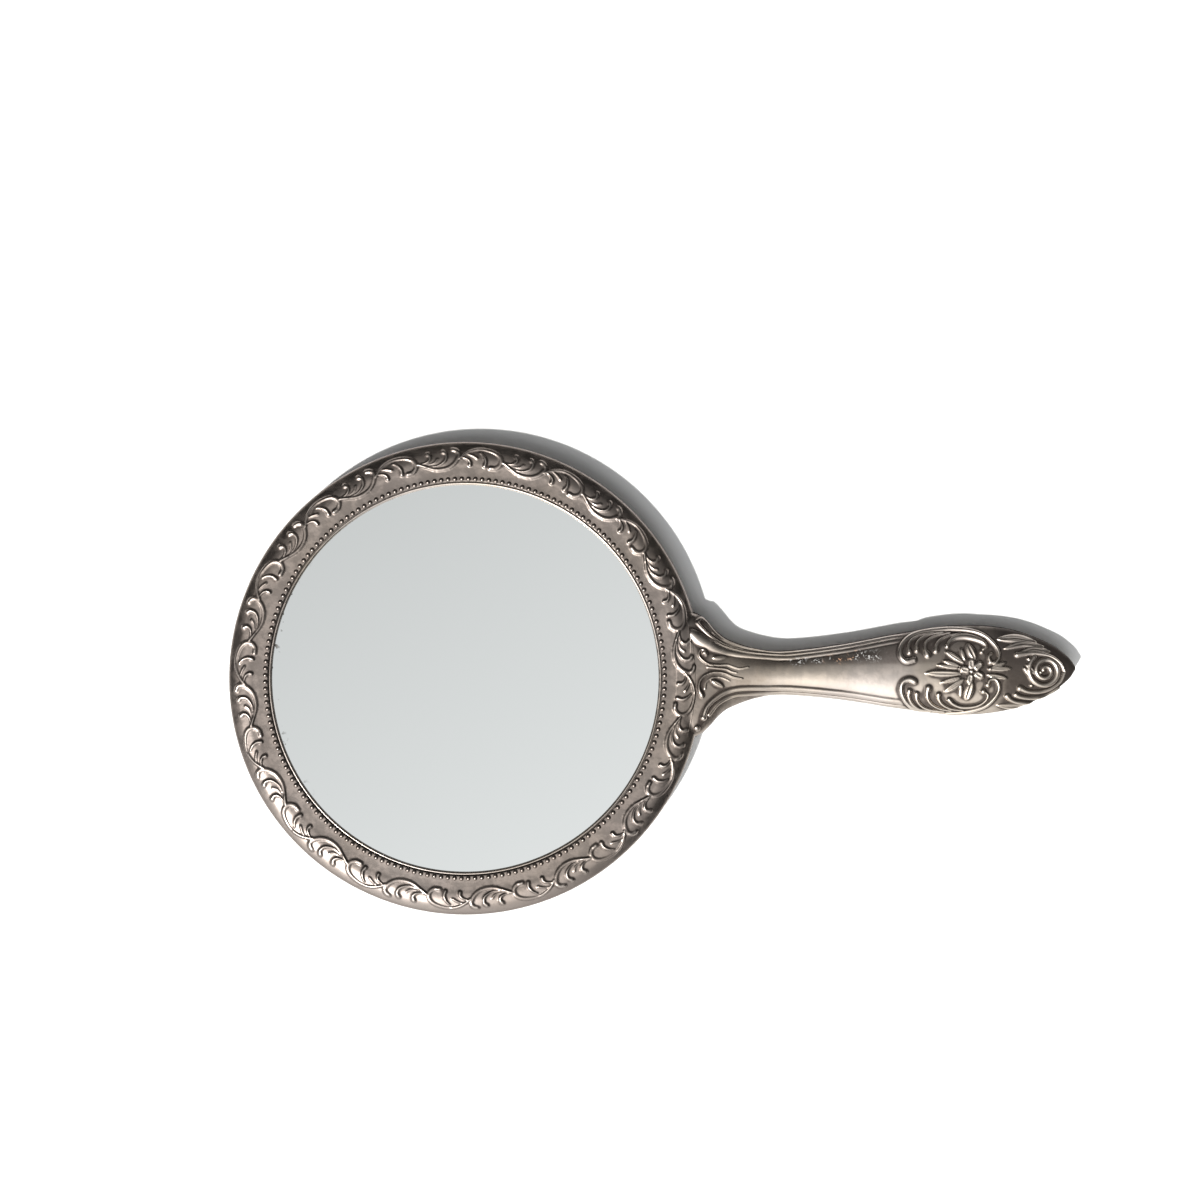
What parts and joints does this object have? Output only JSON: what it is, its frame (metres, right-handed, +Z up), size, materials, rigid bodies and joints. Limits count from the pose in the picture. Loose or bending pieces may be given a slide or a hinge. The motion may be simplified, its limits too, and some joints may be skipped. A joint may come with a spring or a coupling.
{
  "type": "hand mirror",
  "caption": "Round hand mirror with an ornamented silver-plated frame, a row of beads round the glass and a waisted handle.",
  "frame": {"origin": "the flat centre of the back shell, under the middle of the glass", "axes": "+X from the glass along the handle to its tip, +Z up out of the glass"},
  "size_m": [0.2447, 0.1368, 0.011],
  "materials": {
    "silver_plate": "tarnished silver plate over brass",
    "mirror_glass": "silvered glass",
    "grey_card": "plain card",
    "green_felt": "felt",
    "tinplate": "tinned sheet",
    "spring_brass": "dull brass",
    "black_steel": "rolled strip",
    "plaster_fill": "cast plaster"
  },
  "bodies": {
    "root": {"front_shell": "silver_plate", "glass_rim": "silver_plate", "mirror_glass": "mirror_glass", "backing_card": "grey_card", "felt_pad": "green_felt", "retainer_plate": "tinplate", "retainer_tab_1": "spring_brass", "retainer_tab_2": "spring_brass", "retainer_tab_3": "spring_brass", "retainer_tab_4": "spring_brass", "retainer_tab_5": "spring_brass", "retainer_tab_6": "spring_brass", "retainer_tab_7": "spring_brass", "retainer_tab_8": "spring_brass", "back_shell": "silver_plate", "handle_core": "plaster_fill", "tang": "black_steel", "tang_rivet_1": "spring_brass", "tang_rivet_2": "spring_brass"}
  },
  "joints": []
}
